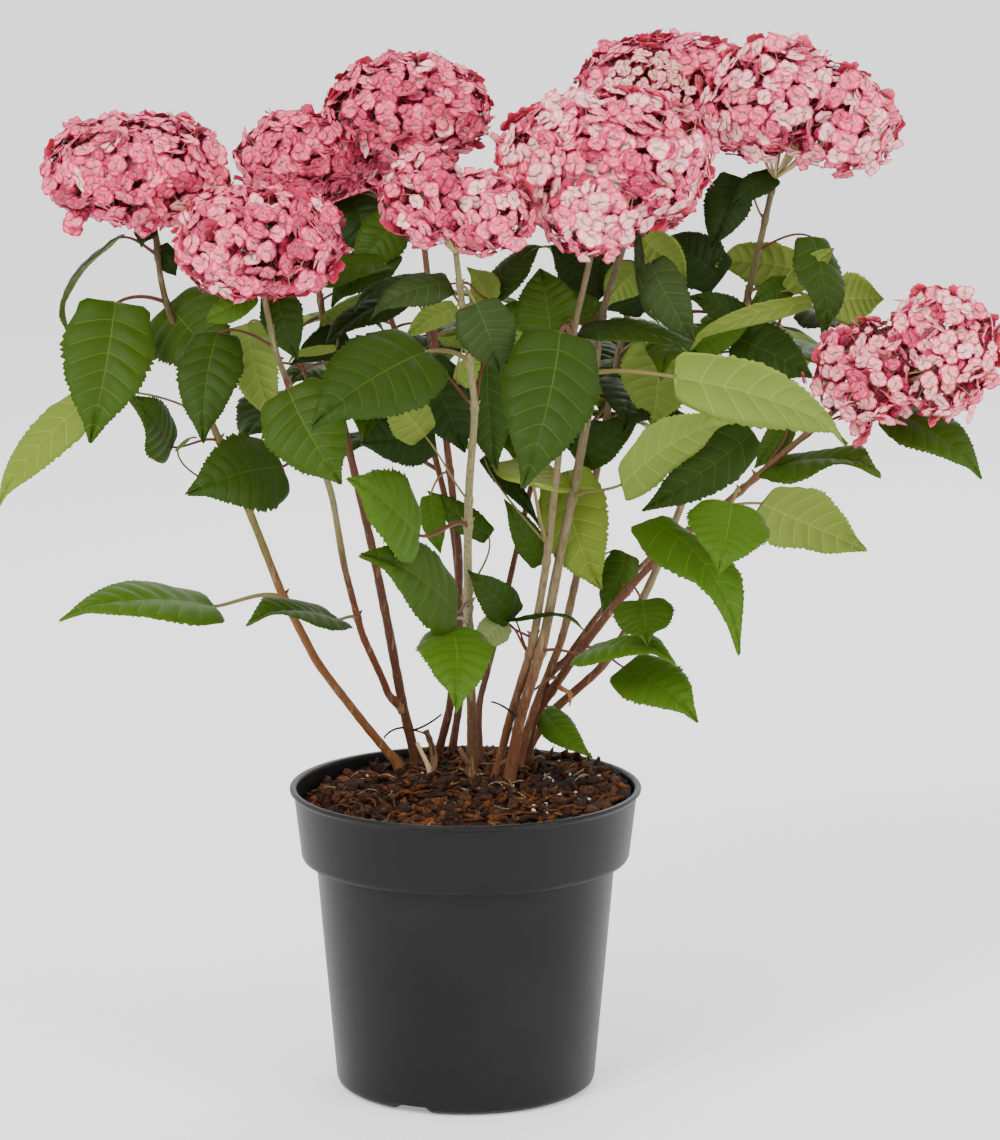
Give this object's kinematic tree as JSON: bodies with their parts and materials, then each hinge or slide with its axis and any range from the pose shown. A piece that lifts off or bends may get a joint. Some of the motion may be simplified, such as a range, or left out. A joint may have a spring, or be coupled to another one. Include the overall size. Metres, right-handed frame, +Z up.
{
  "type": "potted smooth hydrangea shrub",
  "caption": "Flowering shrub in a round nursery pot: leaning stems, serrated leaves and domed pink mophead blooms.",
  "frame": {"origin": "centre of the pot's flat underside", "axes": "+Z up, +X to the right seen from the front, front towards -Y"},
  "size_m": [0.6434, 0.412, 0.6876],
  "materials": {
    "pot": "satin charcoal moulded plastic",
    "soil": "moist bark compost",
    "stem": "young bark, brown at the foot and pale green above",
    "bloom": "soft petals, pale pink with rose edges",
    "leaf": "matt green leaf with raised veins"
  },
  "bodies": {
    "root": {"pot": "pot", "soil": "soil", "stem_far_left": "stem", "stem_left_inner": "stem", "bough_left": "stem", "stem_red": "stem", "stem_back_left": "stem", "stem_centre": "stem", "stem_slim": "stem", "stem_tall": "stem", "stem_mid": "stem", "stem_tall_back": "stem", "stem_dark_right": "stem", "shoot_right": "stem", "stem_high_right": "stem", "stub_cut": "stem", "bloom_far_left": "bloom", "bloom_left_front": "bloom", "bloom_left_back": "bloom", "bloom_top_left": "bloom", "bloom_centre_front": "bloom", "bloom_centre_right": "bloom", "bloom_top_back": "bloom", "bloom_top_right": "bloom", "bloom_far_right": "bloom", "bloom_back_right": "bloom", "bloom_back_left": "bloom", "leaf_arched_far_left": "leaf", "leaf_big_far_left": "leaf", "leaf_upper_left": "leaf", "leaf_pointed_left": "leaf", "leaf_outlying_left": "leaf", "leaf_folded_left": "leaf", "leaf_facing_left": "leaf", "leaf_lowest_left": "leaf", "leaf_low_left": "leaf", "leaf_drooping_left": "leaf", "leaf_broad_centre_left": "leaf", "leaf_broad_centre": "leaf", "leaf_centre_low_left": "leaf", "leaf_lower_centre": "leaf", "leaf_lowest_centre": "leaf", "leaf_pale_centre": "leaf", "leaf_level_right": "leaf", "leaf_heart_right": "leaf", "leaf_low_right": "leaf", "leaf_at_the_rim": "leaf", "leaf_heart_far_right": "leaf", "leaf_hanging_right": "leaf", "leaf_pale_far_right": "leaf", "leaf_under_right": "leaf", "leaf_large_right": "leaf", "leaf_far_right_level": "leaf", "leaf_outlying_right": "leaf", "leaf_dark_hanging_right": "leaf", "mass_centre_top": "leaf", "mass_centre_inner": "leaf", "mass_right_top": "leaf", "mass_back_left": "leaf", "mass_back_right": "leaf"}
  },
  "joints": []
}
